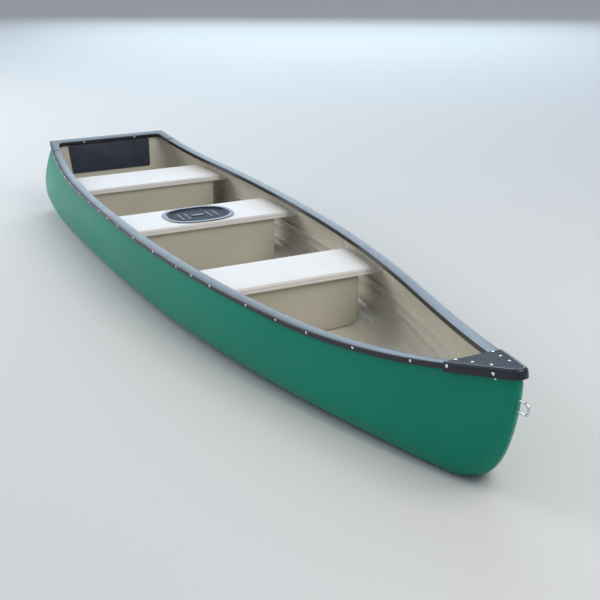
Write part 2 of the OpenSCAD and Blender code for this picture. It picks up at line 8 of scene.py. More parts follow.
import bmesh
import bpy
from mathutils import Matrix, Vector


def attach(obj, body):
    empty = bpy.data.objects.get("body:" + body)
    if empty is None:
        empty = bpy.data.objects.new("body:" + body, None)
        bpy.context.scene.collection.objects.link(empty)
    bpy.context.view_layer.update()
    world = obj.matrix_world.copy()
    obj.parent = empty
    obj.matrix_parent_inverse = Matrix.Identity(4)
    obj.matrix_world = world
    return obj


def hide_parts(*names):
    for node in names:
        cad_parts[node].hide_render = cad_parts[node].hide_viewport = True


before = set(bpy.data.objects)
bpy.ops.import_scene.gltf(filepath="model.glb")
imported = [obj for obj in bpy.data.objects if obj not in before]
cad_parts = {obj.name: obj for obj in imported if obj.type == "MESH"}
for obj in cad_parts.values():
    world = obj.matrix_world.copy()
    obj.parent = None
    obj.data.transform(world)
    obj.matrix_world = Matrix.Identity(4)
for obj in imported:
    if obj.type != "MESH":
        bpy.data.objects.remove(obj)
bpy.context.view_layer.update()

# ---------------------------------------------------------------- driving dimensions

HULL_LEN = 4.700
HALF_BEAM = 0.540
WIDEST_X = 1.650
SIDE_H = 0.375
STERN_RISE = 0.072
BOW_RISE = 0.170
TRANSOM_HALF = 0.400
RAKE = 0.2
SKIN_T = 0.004
LINER_T = 0.004
BOND = 0.0003
CORE_T = 0.018

RAIL_W = 0.055
RAIL_H = 0.025
RAIL_T = 0.004
CAP_ARM = 0.180
CAP_CROSS = 0.062
DECK_LEN = 0.296
DECK_SKIRT = 0.038
DECK_LIFT = 0.005
DECK_OVER = 0.005
DECK_NOSE = 0.030
DECK_END = 0.020
DECK_X = HULL_LEN - DECK_END - DECK_LEN

SEAT_X = (0.530, 1.497, 2.585)
SEAT_NAMES = ("stern", "middle", "bow")
BOX_HALF = (0.430, 0.410, 0.350)
SEAT_DEPTH = 0.365
SEAT_H = 0.310
SEAT_T = 0.030
BOX_INSET = 0.022
SEAT_WALL = 0.005

HATCH_X = SEAT_X[1] + SEAT_DEPTH / 2
HATCH_HALF = (0.156, 0.206)
HATCH_RING = 0.024
LID_DROP = 0.010

PAD_HALF = 0.287
PAD_H = 0.190
PAD_T = 0.010

EYE_R = 0.0048
EYE_GAP = 0.045
EYE_Z = 0.390
EYE_REACH = 0.064
EYE_TAIL = 0.060

STERN_H = SIDE_H + STERN_RISE
RAKE_A = math.atan(RAKE)
STEM_HALF = 0.014
STEM_X = 4.400          # where the forefoot starts to rise
STEM_REACH = 0.265
STEM_RISE = 0.500
EDGE_DROP = RAIL_T + 0.0018     # top of the skins below the gunwales' tops
EDGE_IN = 0.008                 # outside of the hull inboard of the gunwales' faces

# How the lines run: a run is the length over which a change dies away, a power is how fast it starts
BEAM_POWER_AFT, BEAM_POWER_FORE = 2.2, 2.3
SHEER_RUN_AFT, SHEER_POWER_AFT = 0.9, 2.3
SHEER_RUN_FORE, SHEER_POWER_FORE = 1.3, 2.2
STERN_LIFT = 0.020              # rise of the bottom at the transom
AFT_RUN = 1.4                   # length of the stern's fuller sides
SWELL = (0.006, 0.022, 0.046)   # bulge of the sides beyond the gunwales: bow, amidships, extra at the stern
SWELL_FADE = (2.2, 2.4)
SQUARE_N, ROUND_N = 4.6, 2.0    # roundness of the bilge amidships and at the stem
BILGE_FADE = (STEM_X - 0.15, 0.42)
TURN, STERN_DROP = 0.6, 0.22    # height of the widest point as a share of the side, and its drop at the stern
PLUMB_Q = 1.8                   # section place above which the side stands straight
LEAN_END, LEAN_RUN = 0.800, 0.740
INNER_T = SKIN_T + BOND + LINER_T
X_SKIN = EDGE_IN
X_CORE = X_SKIN + SKIN_T + BOND
X_LINER = X_CORE + CORE_T + BOND
X_PAD = X_LINER + LINER_T + BOND

# Moulded strakes of the inner skin: their places up the section, depth, ledge and taper, and their fades
STRAKES = (0.36, 0.67, 0.90)
STRAKE_D, STRAKE_LEDGE, STRAKE_TAPER = 0.012, 0.022, 0.16
STRAKE_START, STRAKE_FADE_AFT = 0.06, 0.3
STRAKE_END, STRAKE_FADE_FORE = 4.35, 0.7

# Stations of the gunwales' rivets
RIVET_X = (0.270, 0.400, 0.600, 0.715, 0.875, 1.125, 1.335, 1.535, 1.695, 1.865, 2.110, 2.375, 2.645,
           2.800, 2.975, 3.275, 3.490, 3.690, 3.955, 4.240)


# ---------------------------------------------------------------- the hull's lines

def clamp(v):
    return max(0.0, min(1.0, v))


def smooth(v):
    """Eases from 0 to 1 as v does."""
    t = clamp(v)
    return t * t * (3 - 2 * t)


def bow_share(x):
    """How far station x is along the rise of the sheer towards the bow."""
    return max(0.0, (x - HULL_LEN + SHEER_RUN_FORE) / SHEER_RUN_FORE)


SHEER_SLOPE = BOW_RISE * SHEER_POWER_FORE / SHEER_RUN_FORE * bow_share(DECK_X) ** (SHEER_POWER_FORE - 1)


def half_beam(x):
    """Half breadth over the gunwales at station x."""
    if x < WIDEST_X:
        return HALF_BEAM - (HALF_BEAM - TRANSOM_HALF) * ((WIDEST_X - x) / WIDEST_X) ** BEAM_POWER_AFT
    u = min(1.0, (x - WIDEST_X) / (HULL_LEN - WIDEST_X))
    return STEM_HALF + (HALF_BEAM - STEM_HALF) * (1 - u ** BEAM_POWER_FORE)


def half_beam_slope(x):
    return (half_beam(x + 0.001) - half_beam(x - 0.001)) / 0.002


def sheer(x):
    """Height of the gunwale tops at station x, straight under the bow deck cap."""
    if x > DECK_X:
        return sheer(DECK_X) + SHEER_SLOPE * (x - DECK_X)
    stern = STERN_RISE * clamp(1 - x / SHEER_RUN_AFT) ** SHEER_POWER_AFT
    return SIDE_H + stern + BOW_RISE * bow_share(x) ** SHEER_POWER_FORE


def bottom(x, t):
    """Height of the bottom at station x, for a surface t inside the outer one."""
    z = t + STERN_LIFT * clamp(1 - x) ** 2
    if x > STEM_X:
        u = min(1.0, (x - STEM_X) / (STEM_REACH - t))
        z += (STEM_RISE - t) * (1 - math.sqrt(1 - u * u))
    return z


def stem_line(z):
    """Station of the stem's leading edge at height z."""
    return STEM_X + STEM_REACH * math.sqrt(1 - clamp(1 - z / STEM_RISE) ** 2)


def aft_share(x):
    """1 at the transom, falling to 0 where the stern's fuller sides end."""
    return clamp(1 - x / AFT_RUN)


def swell(x):
    """How far the sides bulge beyond the gunwale line."""
    bow, mid, aft = SWELL
    start, run = SWELL_FADE
    return bow + mid * (1 - smooth((x - start) / run)) + aft * aft_share(x) ** 1.5


def fullness(x):
    """Power of the bilge's curve, from nearly square amidships to round at the stem."""
    start, run = BILGE_FADE
    return SQUARE_N - (SQUARE_N - ROUND_N) * smooth((x - start) / run)


def leaned(x, z):
    """Station x, moved forward at height z as the transom's rake dies away along the hull."""
    return x + RAKE * (STERN_H - z) * clamp((LEAN_END - x) / LEAN_RUN)


def upright(x, z):
    """Station whose leaned section passes through (x, z)."""
    if x >= LEAN_END:
        return x
    c = RAKE * (STERN_H - z) / LEAN_RUN
    return (x - c * LEAN_END) / (1 - c)


def strake_depth(x, q):
    """Depth of the moulded strakes: a ledge on top that tapers away below."""
    fade = smooth((x - STRAKE_START) / STRAKE_FADE_AFT) * smooth((STRAKE_END - x) / STRAKE_FADE_FORE)
    ledges = [smooth(1 - (q - k) / STRAKE_LEDGE) if q > k
              else max(0.0, 1 - (k - q) / STRAKE_TAPER) ** 1.15 for k in STRAKES]
    return STRAKE_D * fade * max(ledges)


def turn_z(x, t):
    """Height of the widest point of the section."""
    share = TURN - STERN_DROP * aft_share(x)
    return bottom(x, t) + (sheer(x) - EDGE_DROP - bottom(x, t)) * share


def plumb_z(x, t):
    """Height above which the side stands straight up to its edge."""
    zb = turn_z(x, t)
    return max(sheer(x) - RAIL_H - 0.002, zb + 0.3 * (sheer(x) - EDGE_DROP - zb))


def side_y(x, q, t):
    """Half breadth at section place q: 0 on the centreline, 1 at the widest point, 2 at the edge."""
    g = half_beam(x) - EDGE_IN - t
    b = g + swell(x)
    if q <= 1:
        return b * (1 - (1 - q) ** SQUARE_N) ** (1 / fullness(x))
    return b - (b - g) * min(1.0, (q - 1) / (PLUMB_Q - 1)) ** (2 - 0.4 * aft_share(x))


def side_z(x, q, t):
    """Height at section place q."""
    zk, zb, zp = bottom(x, t), turn_z(x, t), plumb_z(x, t)
    if q <= 1:
        return zk + (zb - zk) * (1 - (1 - q) ** (SQUARE_N / fullness(x)))
    if q <= PLUMB_Q:
        return zb + (zp - zb) * (q - 1) / (PLUMB_Q - 1)
    return zp + (sheer(x) - EDGE_DROP - zp) * (q - PLUMB_Q) / (2 - PLUMB_Q)


def place_at(x, z, t):
    """Section place q above the widest point where the side has height z."""
    lo, hi = 1.0, 2.0
    for _ in range(24):
        mid = (lo + hi) / 2
        lo, hi = (mid, hi) if side_z(x, mid, t) < z else (lo, mid)
    return lo


def inner_half(x, z):
    """Half breadth of the inner skin at height z, above the widest point."""
    u = upright(x, z)
    return side_y(u, place_at(u, z, INNER_T), INNER_T)


def floor_z(x, y):
    """Height of the inner skin at breadth y on the floor."""
    u = upright(x, INNER_T)
    b, zk, zb = side_y(u, 1, INNER_T), bottom(u, INNER_T), turn_z(u, INNER_T)
    return zb - (zb - zk) * (1 - min(0.999, y / b) ** SQUARE_N) ** (1 / SQUARE_N)


CAP_A = math.atan((sheer(0) - sheer(CAP_ARM)) / CAP_ARM)
DECK_A = math.atan(SHEER_SLOPE)
EYE_FACE = stem_line(EYE_Z)
ORIGIN_X = (EYE_FACE + EYE_REACH + EYE_R - RAIL_H * math.sin(CAP_A)) / 2


# ---------------------------------------------------------------- mesh tools

def arc(n, a0=0.0, a1=90.0):
    """n + 1 angles in radians from a0 to a1 degrees."""
    return [math.radians(a0 + (a1 - a0) * i / n) for i in range(n + 1)]


def spread(a, b, n):
    """n + 1 even steps from a to b."""
    return [a + (b - a) * i / n for i in range(n + 1)]


def add_object(name, data):
    made = bpy.data.objects.new(name, data)
    bpy.context.scene.collection.objects.link(made)
    return made


class Build:
    """Collects the points and faces of one piece, in hull stations."""

    def __init__(self):
        self.points, self.faces = [], []

    def add(self, points, faces):
        base = len(self.points)
        self.points += [tuple(p) for p in points]
        self.faces += [tuple(base + i for i in f) for f in faces]
        return base

    def grid(self, rows, wrap_rows=False, wrap_cols=False):
        """A sheet through rows of equal length; returns each row's point numbers."""
        n, m = len(rows), len(rows[0])
        faces = []
        for i in range(n if wrap_rows else n - 1):
            for j in range(m if wrap_cols else m - 1):
                i2, j2 = (i + 1) % n, (j + 1) % m
                faces.append((i * m + j, i * m + j2, i2 * m + j2, i2 * m + j))
        base = self.add([p for row in rows for p in row], faces)
        return [[base + i * m + j for j in range(m)] for i in range(n)]

    def strip(self, a, b):
        """Joins two rows of point numbers."""
        for j in range(len(a) - 1):
            self.faces.append((a[j], a[j + 1], b[j + 1], b[j]))

    def fill(self, loop):
        """One face through a loop of point numbers."""
        self.faces.append(tuple(loop))

    def zip_ring(self, ring):
        """Closes a ring that is its own mirror image with strips across it."""
        n = len(ring)
        for j in range(n // 2):
            quad = [ring[j], ring[j + 1], ring[n - 2 - j], ring[n - 1 - j]]
            face = list(dict.fromkeys(quad))
            if len(face) > 2:
                self.faces.append(tuple(face))

    def object(self, name, slot, body="hull", sharp=35, thick=0.0):
        """Makes the piece that takes the place of the CAD node of the same name."""
        mesh = bpy.data.meshes.new(name)
        mesh.from_pydata([(x - ORIGIN_X, y, z) for x, y, z in self.points], [], self.faces)
        bm = bmesh.new()
        bm.from_mesh(mesh)
        bmesh.ops.remove_doubles(bm, verts=bm.verts, dist=1e-6)
        bmesh.ops.dissolve_degenerate(bm, edges=bm.edges, dist=1e-7)
        bmesh.ops.recalc_face_normals(bm, faces=bm.faces)
        bm.to_mesh(mesh)
        bm.free()
        piece = add_object(name, mesh)
        if thick:
            solid = piece.modifiers.new("thickness", "SOLIDIFY")
            solid.thickness = thick
            solid.offset = -1
            solid.use_even_offset = True
            apply_modifiers(piece)
        finish_mesh(piece, sharp)
        piece.data.materials.append(MATERIALS[slot])
        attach(piece, body)
        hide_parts(name)
        return piece


def apply_modifiers(piece):
    graph = bpy.context.evaluated_depsgraph_get()
    graph.update()
    baked = bpy.data.meshes.new_from_object(piece.evaluated_get(graph))
    piece.modifiers.clear()
    piece.data = baked


MATTE = "matte"


def mark_matte(piece, test):
    """Marks the points of a piece's dull flat parts for its material."""
    mark = piece.data.attributes.new(MATTE, "FLOAT", "POINT")
    mark.data.foreach_set("value", [1.0 if test(v.co) else 0.0 for v in piece.data.vertices])


def finish_mesh(piece, sharp):
    """Shades smooth, with sharp edges beyond an angle in degrees."""
    mesh = piece.data
    mesh.polygons.foreach_set("use_smooth", [True] * len(mesh.polygons))
    mesh.set_sharp_from_angle(angle=math.radians(sharp))


def lathe(b, profile, place, segments=24):
    """Turns a profile of (radius, height) about the axis of place(u, v, w)."""
    turns = [2 * math.pi * i / segments for i in range(segments)]
    b.grid([[place(r * math.cos(a), r * math.sin(a), h) for r, h in profile] for a in turns], wrap_rows=True)


def frame_at(point, normal, side=(0, 0, 1)):
    """A function from (u, v, w) on a surface at point, w along its normal, to hull stations."""
    n = Vector(normal).normalized()
    u = Vector(side).cross(n).normalized()
    v = n.cross(u)
    p = Vector(point)
    return lambda a, b, c: p + u * a + v * b + n * c


# ---------------------------------------------------------------- materials

def stretched(tree, scale):
    """Object coordinates, scaled along each axis."""
    coords = tree.nodes.new("ShaderNodeTexCoord")
    mapping = tree.nodes.new("ShaderNodeMapping")
    mapping.inputs["Scale"].default_value = scale
    tree.links.new(coords.outputs["Object"], mapping.inputs["Vector"])
    return mapping.outputs["Vector"]


def noise(tree, vector, scale, detail=4.0, rough=0.5):
    made = tree.nodes.new("ShaderNodeTexNoise")
    made.inputs["Scale"].default_value = scale
    made.inputs["Detail"].default_value = detail
    made.inputs["Roughness"].default_value = rough
    tree.links.new(vector, made.inputs["Vector"])
    return made.outputs["Fac"]


def ranged(tree, value, lo, hi, to_lo, to_hi):
    made = tree.nodes.new("ShaderNodeMapRange")
    for key, number in (("From Min", lo), ("From Max", hi), ("To Min", to_lo), ("To Max", to_hi)):
        made.inputs[key].default_value = number
    tree.links.new(value, made.inputs["Value"])
    return made.outputs["Result"]


def mixed(tree, fac, a, b):
    """Blends two colours, each a tuple or a socket."""
    made = tree.nodes.new("ShaderNodeMix")
    made.data_type = "RGBA"
    tree.links.new(fac, made.inputs["Factor"])
    for socket, value in ((made.inputs["A"], a), (made.inputs["B"], b)):
        if isinstance(value, tuple):
            socket.default_value = (*value, 1)
        else:
            tree.links.new(value, socket)
    return made.outputs["Result"]


def new_material(name):
    """A node material, with its tree and shader."""
    made = bpy.data.materials.new(name)
    made.use_nodes = True
    return made, made.node_tree, made.node_tree.nodes["Principled BSDF"]


def add_relief(tree, shader, height, strength, distance=0.0004, invert=False):
    relief = tree.nodes.new("ShaderNodeBump")
    relief.invert = invert
    relief.inputs["Strength"].default_value = strength
    relief.inputs["Distance"].default_value = distance
    tree.links.new(height, relief.inputs["Height"])
    tree.links.new(relief.outputs["Normal"], shader.inputs["Normal"])


def material(name, colour, rough, low=0.92, high=1.06, patch=3.0, grain=700.0, bump=0.05, rough_swing=0.08,
             metallic=0.0, specular=0.5, stretch=(1, 1, 1), grain_stretch=(1, 1, 1), scuff=None,
             scuff_amount=0.0, bump_distance=0.0004, matte_rough=None):
    """Moulded or metal surface: slow colour drift, fine grain in colour and height, and uneven gloss."""
    made, tree, shader = new_material(name)
    wide = noise(tree, stretched(tree, stretch), patch, 3.0)
    fine = noise(tree, stretched(tree, grain_stretch), grain, 3.0, 0.6)
    dark = tuple(c * low for c in colour)
    light = tuple(min(1.0, c * high) for c in colour)
    drift = mixed(tree, ranged(tree, wide, 0.3, 0.7, 0, 1), dark, light)
    speck = ranged(tree, fine, 0.35, 0.65, 0.0, 0.35)
    tint = mixed(tree, speck, drift, dark)
    if scuff:
        marks = noise(tree, stretched(tree, (6, 60, 60)), 3.0, 5.0, 0.7)
        tint = mixed(tree, ranged(tree, marks, 0.60, 0.74, 0, scuff_amount), tint, scuff)
    tree.links.new(tint, shader.inputs["Base Color"])
    gloss = noise(tree, stretched(tree, stretch), patch * 4, 5.0, 0.6)
    roughness = ranged(tree, gloss, 0.3, 0.7, rough - rough_swing / 2, rough + rough_swing / 2)
    shader.inputs["Specular IOR Level"].default_value = specular
    if matte_rough:
        mark = tree.nodes.new("ShaderNodeAttribute")
        mark.attribute_name = MATTE
        added = tree.nodes.new("ShaderNodeMath")
        added.operation = "ADD"
        tree.links.new(roughness, added.inputs[0])
        tree.links.new(ranged(tree, mark.outputs["Fac"], 0, 1, 0, matte_rough - rough), added.inputs[1])
        roughness = added.outputs[0]
        tree.links.new(ranged(tree, mark.outputs["Fac"], 0, 1, specular, specular * 0.4),
                       shader.inputs["Specular IOR Level"])
    tree.links.new(roughness, shader.inputs["Roughness"])
    add_relief(tree, shader, fine, bump, bump_distance)
    shader.inputs["Metallic"].default_value = metallic
    return made


def plywood(name):
    """Rotary-cut veneer with long uneven grain lines."""
    made, tree, shader = new_material(name)
    grain = noise(tree, stretched(tree, (30, 2.2, 30)), 6.0, 6.0, 0.65)
    figure = mixed(tree, ranged(tree, grain, 0.35, 0.65, 0, 1), (0.33, 0.20, 0.10), (0.56, 0.38, 0.21))
    tree.links.new(figure, shader.inputs["Base Color"])
    tree.links.new(ranged(tree, grain, 0.3, 0.7, 0.55, 0.75), shader.inputs["Roughness"])
    add_relief(tree, shader, grain, 0.3)
    return made


def foam(name):
    """Cut bead foam: round cells with darker joints."""
    made, tree, shader = new_material(name)
    cells = tree.nodes.new("ShaderNodeTexVoronoi")
    cells.inputs["Scale"].default_value = 220.0
    tree.links.new(stretched(tree, (1, 1, 1)), cells.inputs["Vector"])
    beads = ranged(tree, cells.outputs["Distance"], 0.2, 0.7, 0, 1)
    tree.links.new(mixed(tree, beads, (0.86, 0.86, 0.84), (0.66, 0.66, 0.64)), shader.inputs["Base Color"])
    tree.links.new(ranged(tree, beads, 0, 1, 0.6, 0.85), shader.inputs["Roughness"])
    add_relief(tree, shader, beads, 0.5, 0.001, invert=True)
    return made


MATERIALS = {
    "hull_green": material("hull_green", (0.001, 0.215, 0.138), 0.34, low=0.86, high=1.12, patch=1.6,
                           grain=420, bump=0.06, rough_swing=0.10, stretch=(0.6, 1, 1),
                           scuff=(0.03, 0.29, 0.22), scuff_amount=0.10, specular=0.18),
    "hull_tan": material("hull_tan", (0.60, 0.56, 0.465), 0.24, low=0.92, high=1.06, patch=2.2, grain=500,
                         bump=0.08, rough_swing=0.12, bump_distance=0.0003),
    "seat_cream": material("seat_cream", (0.67, 0.63, 0.585), 0.42, low=0.96, high=1.03, patch=3.0, grain=900,
                           bump=0.10, rough_swing=0.10),
    "seat_tan": material("seat_tan", (0.53, 0.50, 0.41), 0.50, low=0.93, high=1.06, patch=3.0, grain=650,
                         bump=0.14, rough_swing=0.10),
    "vinyl_black": material("vinyl_black", (0.009, 0.012, 0.020), 0.30, low=0.85, high=1.15, patch=5,
                            grain=900, bump=0.015, rough_swing=0.06, matte_rough=0.60),
    "pad_board": material("pad_board", (0.014, 0.021, 0.040), 0.55, low=0.75, high=1.3, patch=14, grain=260,
                          bump=0.35, rough_swing=0.15, grain_stretch=(1, 0.25, 1)),
    "rail_alloy": material("rail_alloy", (0.66, 0.67, 0.68), 0.34, metallic=1.0, grain=300, bump=0.1,
                           grain_stretch=(0.05, 1, 1)),
    "rivet_alloy": material("rivet_alloy", (0.86, 0.87, 0.88), 0.28, metallic=1.0, grain=900, bump=0.05),
    "eye_steel": material("eye_steel", (0.70, 0.71, 0.73), 0.20, metallic=1.0, grain=900, bump=0.04),
    "hatch_black": material("hatch_black", (0.020, 0.026, 0.040), 0.26, low=0.8, high=1.25, patch=12,
                            grain=800, bump=0.06, rough_swing=0.08, matte_rough=0.62),
    "gasket_rubber": material("gasket_rubber", (0.014, 0.014, 0.015), 0.75, grain=900, bump=0.2),
    "plywood": plywood("plywood"),
    "foam_white": foam("foam_white"),
}


# ---------------------------------------------------------------- hull skins

# Section places of the points, closer together where the bilge turns and at the strakes' ledges
OUTER_PLACES = [1 - (1 - f ** SQUARE_N) ** (1 / SQUARE_N) for f in
                (0, 0.12, 0.25, 0.38, 0.5, 0.6, 0.68, 0.75, 0.8, 0.845, 0.885, 0.92, 0.95)]
OUTER_PLACES += spread(0.31, 1.0, 12) + spread(1.08, PLUMB_Q, 9) + [1.86, 1.93, 2.0]
LEDGE_STEPS = (-0.15, -0.12, -0.09, -0.06, -0.03, -0.012, 0.0, 0.004, 0.009, 0.014, 0.018, 0.022, 0.03)
INNER_PLACES = [q for q in OUTER_PLACES if q < 0.205]
INNER_PLACES += [k + s for k in STRAKES for s in LEDGE_STEPS] + [0.97] + [q for q in OUTER_PLACES if q >= 1]


RUN_N, STEM_N = 110, 34     # stations along the run and round the forefoot
STEM_TURN = 89.4            # the last station stops just short of the stem line


def hull_stations(x0, t, corner):
    """Pairs of station and extra inset: a rounded corner, then the run of the hull, then the forefoot."""
    turned = [(x0 + corner * (1 - math.cos(a)), corner * (1 - math.sin(a))) for a in arc(7)]
    run = [(x, 0.0) for x in spread(turned[-1][0], STEM_X, RUN_N)[1:]]
    stem = [(STEM_X + (STEM_REACH - t) * math.sin(a), 0.0) for a in arc(STEM_N, 0, STEM_TURN)[1:]]
    return turned + run + stem


NOSE_MIN, NOSE_MAX = 0.016, 0.030


def stem_round(x, y, z, t):
    """Rounds the leading edge, so the two sides meet in a nose of about their own breadth."""
    ahead = stem_line(z) - t - x
    reach = max(NOSE_MIN, min(NOSE_MAX, abs(y)))
    return y if ahead >= reach else y * math.sqrt(max(0.0, 1 - (1 - max(0.0, ahead) / reach) ** 2))


def hull_section(x, inset, t, places, strakes):
    """The points of one section, from the port edge under the keel line to the starboard edge."""
    half = []
    for q in places:
        z = side_z(x, q, t + inset)
        y = side_y(x, q, t + inset) - (strake_depth(x, q) if strakes else 0.0)
        if x > STEM_X:
            y = stem_round(x, y, z, t)
        half.append((leaned(x, z), y, z))
    return list(reversed(half)) + [(x1, -y1, z1) for x1, y1, z1 in half[1:]]


def hull_skin(name, slot, outer, inner, strakes):
    """A closed skin between two surfaces: (first station, depth inside the hull, corner radius, places)."""
    b = Build()
    sheets = []
    for x0, t, corner, places, cut in (outer + (False,), inner + (strakes,)):
        rows = b.grid([hull_section(x, i, t, places, cut) for x, i in hull_stations(x0, t, corner)])
        b.zip_ring(rows[0])
        b.zip_ring(rows[-1])
        sheets.append(rows)
    out, into = sheets
    for end in (0, -1):
        b.strip([r[end] for r in out], [r[end] for r in into])
    b.fill([out[0][0], out[0][-1], into[0][-1], into[0][0]])
    b.fill([out[-1][0], out[-1][-1], into[-1][-1], into[-1][0]])
    return b.object(name, slot, sharp=50)


def make_hull():
    hull_skin("hull_outer_skin", "hull_green", (X_SKIN, 0.0, 0.030, OUTER_PLACES),
              (X_SKIN + SKIN_T, SKIN_T, 0.026, OUTER_PLACES), False)
    hull_skin("hull_inner_skin", "hull_tan", (X_LINER, SKIN_T + BOND, 0.026, OUTER_PLACES),
              (X_LINER + LINER_T, INNER_T, 0.034, INNER_PLACES), True)


# ---------------------------------------------------------------- gunwales

def rail_point(x, out, down):
    """A point of the port gunwale, out inboard of its outer face and down below its top."""
    m = half_beam_slope(x)
    k = math.sqrt(1 + m * m)
    px = x + out * m / k
    return (px, half_beam(x) - out / k, sheer(px) - down)


RAIL_START, RAIL_END = CAP_ARM + 0.003, 4.540


def rail_profile():
    """The vinyl section: a crowned top with a soft outer shoulder, and two flanges."""
    crown, shoulder, brow, tip = 0.0016, 0.0065, 0.0035, 0.0012
    points = [(0, RAIL_H - tip)]
    points += [(shoulder * (1 - math.cos(a)), crown + shoulder * (1 - math.sin(a))) for a in arc(7)]
    mid, reach = RAIL_W / 2, RAIL_W / 2 - shoulder
    points += [(mid + reach * s, crown * abs(s) ** 2.2) for s in spread(-0.8, 0.8, 8)]
    points += [(RAIL_W - brow * (1 - math.sin(a)), crown + brow * (1 - math.cos(a))) for a in arc(5)]
    inboard = RAIL_W - RAIL_T
    points += [(RAIL_W, RAIL_H - tip), (RAIL_W - tip, RAIL_H), (inboard + tip, RAIL_H),
               (inboard, RAIL_H - tip), (inboard, RAIL_T + 0.002), (inboard - 0.002, RAIL_T + crown),
               (RAIL_T + 0.002, RAIL_T + crown), (RAIL_T, RAIL_T + 0.004), (RAIL_T, RAIL_H - tip),
               (RAIL_T - tip, RAIL_H), (tip, RAIL_H)]
    return points


def make_gunwales():
    profile = rail_profile()
    for side in ("port", "starboard"):
        b = Build()
        rows = b.grid([[rail_point(x, *p) for p in profile] for x in spread(RAIL_START, RAIL_END, 150)],
                      wrap_cols=True)
        b.fill(rows[0])
        b.fill(rows[-1])
        if side == "starboard":
            b.points = [(x, -y, z) for x, y, z in b.points]
        b.object("gunwale_" + side, "vinyl_black", sharp=40)


GUNWALE_RIVET_R, DECK_RIVET_R, STEM_RIVET_R, BOLT_R = 0.0055, 0.006, 0.005, 0.0065
# Blind rivet: a low dome with the broken mandrel's pit in the middle, as shares of the radius
DOME = ((1.0, 0.0), (1.0, 0.08), (0.95, 0.17), (0.84, 0.28), (0.68, 0.37), (0.50, 0.43), (0.36, 0.46),
        (0.27, 0.46), (0.24, 0.40), (0.21, 0.34), (0.0, 0.32))


def rivet(b, place, radius, shank=0.0):
    profile = [(r * radius, h * radius) for r, h in DOME]
    foot = [(0.0, -shank), (radius * 0.42, -shank), (radius * 0.42, 0.0)] if shank else [(0.0, 0.0)]
    lathe(b, foot + profile, place)


def make_gunwale_rivets():
    for side, sign in (("port", 1), ("starboard", -1)):
        b = Build()
        for x in RIVET_X:
            x0, y0, z0 = rail_point(x, -0.0001, RAIL_H / 2)
            place = frame_at((x0, sign * y0, z0), (-half_beam_slope(x), sign, 0))
            rivet(b, place, GUNWALE_RIVET_R, RAIL_T)
        name = "gunwale_rivets_" + side
        b.object(name, "rivet_alloy", sharp=50)


# ---------------------------------------------------------------- caps at the two ends

def tilted(origin_x, origin_z, angle):
    """A plane through a cross line, tilted about Y: along, across and above to hull stations."""
    c, s = math.cos(angle), math.sin(angle)
    return lambda u, y, w: (origin_x + u * c - w * s, y, origin_z + u * s + w * c)


def corner_points(centre, radius, a0, a1, n):
    return [(centre[0] + radius * math.cos(a), centre[1] + radius * math.sin(a)) for a in arc(n, a0, a1)]


def path_normals(path):
    """Unit normals to the left of an open path in a plane."""
    normals = []
    for i in range(len(path)):
        a, b = path[max(0, i - 1)], path[min(len(path) - 1, i + 1)]
        dx, dy = b[0] - a[0], b[1] - a[1]
        d = math.hypot(dx, dy)
        normals.append((-dy / d, dx / d))
    return normals


def loop_normals(loop):
    """Unit normals to the left of a closed path in a plane."""
    normals = path_normals(loop + loop[:2])[1:]
    return [normals[-1]] + normals[:-1]


def cap_edges():
    """The transom cap's outer and inner edges, point for point from the port arm to the starboard arm."""
    end = CAP_ARM / math.cos(CAP_A)
    r_out, r_in = 0.010, 0.045
    n_arm, n_turn, n_cross = 8, 10, 16
    slope = (half_beam(CAP_ARM) - half_beam(0)) / end
    outer = [(u, half_beam(0) + slope * u) for u in spread(end, r_out, n_arm)]
    outer += corner_points((r_out, half_beam(0) - r_out), r_out, 90, 180, n_turn)[1:]
    outer += [(0.0, y) for y in spread(half_beam(0) - r_out, 0.0, n_cross)[1:]]
    y_in = half_beam(0) - RAIL_W + slope * CAP_CROSS
    inner = [(u, y_in + slope * (u - CAP_CROSS)) for u in spread(end, CAP_CROSS + r_in, n_arm)]
    inner += corner_points((CAP_CROSS + r_in, inner[-1][1] - r_in), r_in, 90, 180, n_turn)[1:]
    inner += [(CAP_CROSS, y) for y in spread(inner[-1][1], 0.0, n_cross)[1:]]
    return [side + [(u, -y) for u, y in reversed(side[:-1])] for side in (outer, inner)]


def make_transom_cap():
    b = Build()
    place = tilted(0, STERN_H, -CAP_A)
    outer, inner = cap_edges()
    shoulder, crown = 0.005, 0.0012
    rows = []
    edges = zip(outer, inner, path_normals(outer), path_normals(inner))
    for (ou, oy), (iu, iy), (nx, ny), (mx, my) in edges:
        row = [(ou, oy, 0.0002 - RAIL_H)]
        row += [(ou + nx * shoulder * (1 - math.cos(a)), oy + ny * shoulder * (1 - math.cos(a)),
                 -crown - shoulder * (1 - math.sin(a))) for a in arc(6)]
        for s in spread(0.2, 0.8, 5):
            row.append((ou + (iu - ou) * s, oy + (iy - oy) * s, -crown * abs(2 * s - 1) ** 2.2))
        row += [(iu - mx * shoulder * (1 - math.sin(a)), iy - my * shoulder * (1 - math.sin(a)),
                 -crown - shoulder * (1 - math.cos(a))) for a in arc(6)]
        row.append((iu, iy, -RAIL_H))
        rows.append([place(*p) for p in row])
    b.grid(rows)
    b.object("transom_cap", "vinyl_black", thick=RAIL_T - 0.0005, sharp=35)


CAP_BOLT_Y, CAP_BOLT_Z = 0.180, -0.011


def cap_bolt_frame(sign):
    """The place of a bolt head on the forward face of the transom cap."""
    place = tilted(0, STERN_H, -CAP_A)
    base = Vector(place(CAP_CROSS, sign * CAP_BOLT_Y, CAP_BOLT_Z))
    return frame_at(base, Vector(place(CAP_CROSS + 1, sign * CAP_BOLT_Y, CAP_BOLT_Z)) - base)


